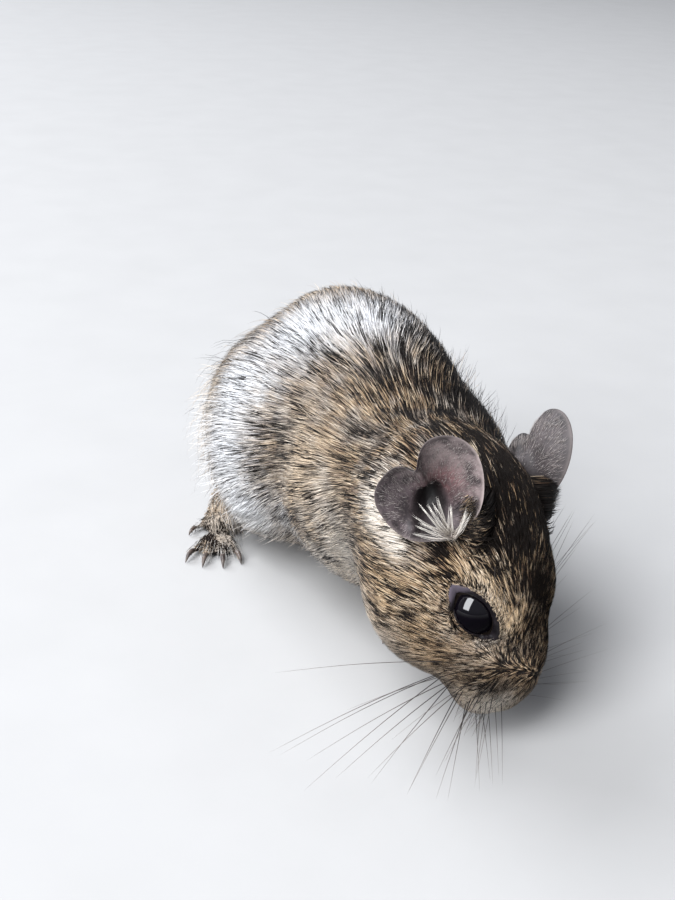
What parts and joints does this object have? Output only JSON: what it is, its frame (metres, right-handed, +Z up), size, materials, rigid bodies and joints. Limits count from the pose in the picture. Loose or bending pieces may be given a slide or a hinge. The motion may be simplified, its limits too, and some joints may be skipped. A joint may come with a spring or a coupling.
{
  "type": "degu",
  "caption": "Life-size brown degu crouched on the floor with its head lowered, ears spread and tail lying behind.",
  "frame": {"origin": "on the floor, under the middle of the whole animal with its whiskers and tail", "axes": "-Y towards the head, +X towards the animal's left side, +Z up"},
  "size_m": [0.0786, 0.245, 0.0645],
  "materials": {
    "coat": "matte",
    "ear_skin": "satin",
    "eye": "polished",
    "foot": "matte",
    "tail_brush": "matte"
  },
  "bodies": {
    "root": {"torso": "coat", "neck": "coat", "head": "coat", "muzzle": "coat", "thigh_right": "coat", "hind_foot_right": "foot", "fore_leg_right": "coat", "hand_right": "foot", "ear_right": "ear_skin", "eye_right": "eye", "thigh_left": "coat", "hind_foot_left": "foot", "fore_leg_left": "coat", "hand_left": "foot", "ear_left": "ear_skin", "eye_left": "eye", "tail_root": "coat", "tail_middle": "coat", "tail_tip": "tail_brush"}
  },
  "joints": []
}
